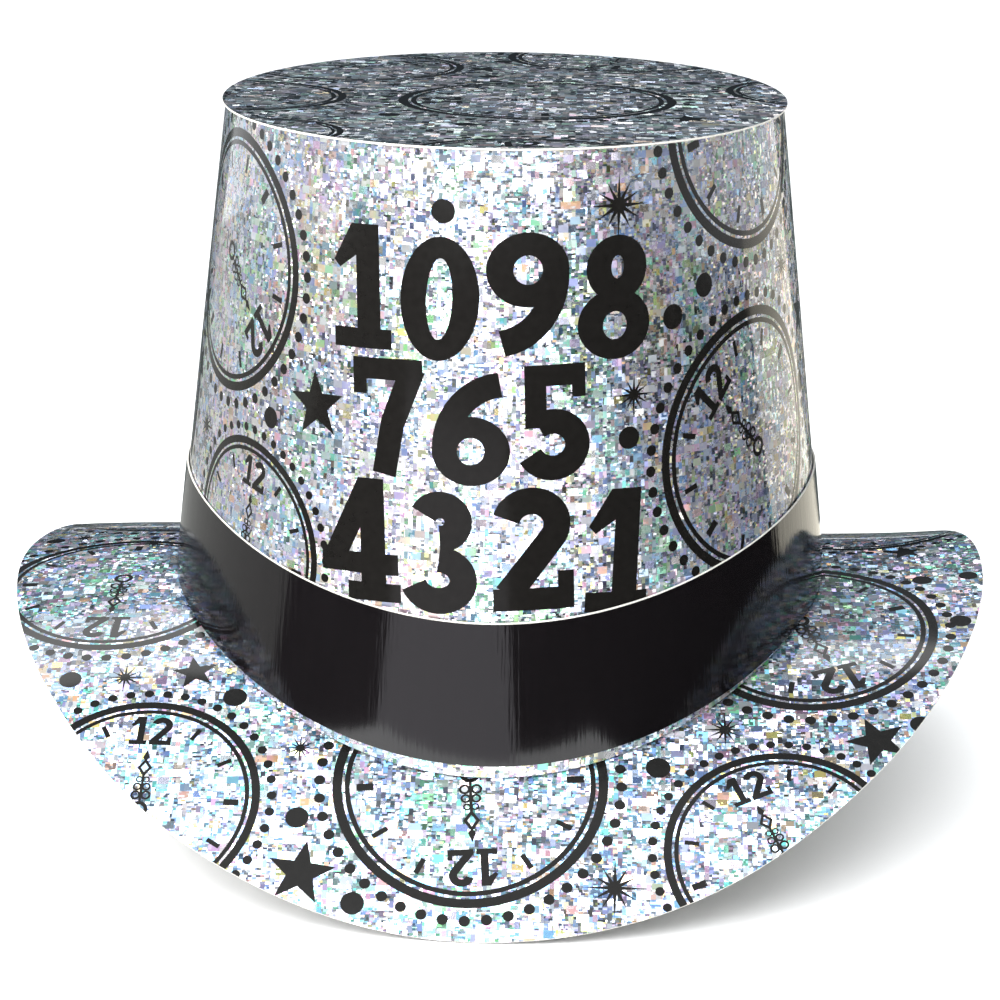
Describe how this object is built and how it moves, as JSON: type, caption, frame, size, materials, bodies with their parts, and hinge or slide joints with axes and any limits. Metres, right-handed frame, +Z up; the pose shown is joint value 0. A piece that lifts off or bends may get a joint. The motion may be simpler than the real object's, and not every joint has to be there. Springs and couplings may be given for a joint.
{
  "type": "party top hat",
  "caption": "Foil card party top hat with a tapering oval crown, a flat top, a glossy black band and a brim bent down at front and back.",
  "frame": {"origin": "centre of the head opening, level with the highest line of the brim", "axes": "+Z up out of the crown, -Y towards the wearer's face, +X to the wearer's left"},
  "size_m": [0.273, 0.2682, 0.1925],
  "materials": {
    "crown_foil": "holographic silver foil on card with black print",
    "top_foil": "holographic silver foil on card with black print",
    "brim_foil": "holographic silver foil on card with black print",
    "black_card": "glossy black card"
  },
  "bodies": {
    "root": {"crown_wall": "crown_foil", "crown_top": "top_foil", "brim": "brim_foil", "hat_band": "black_card"}
  },
  "joints": []
}
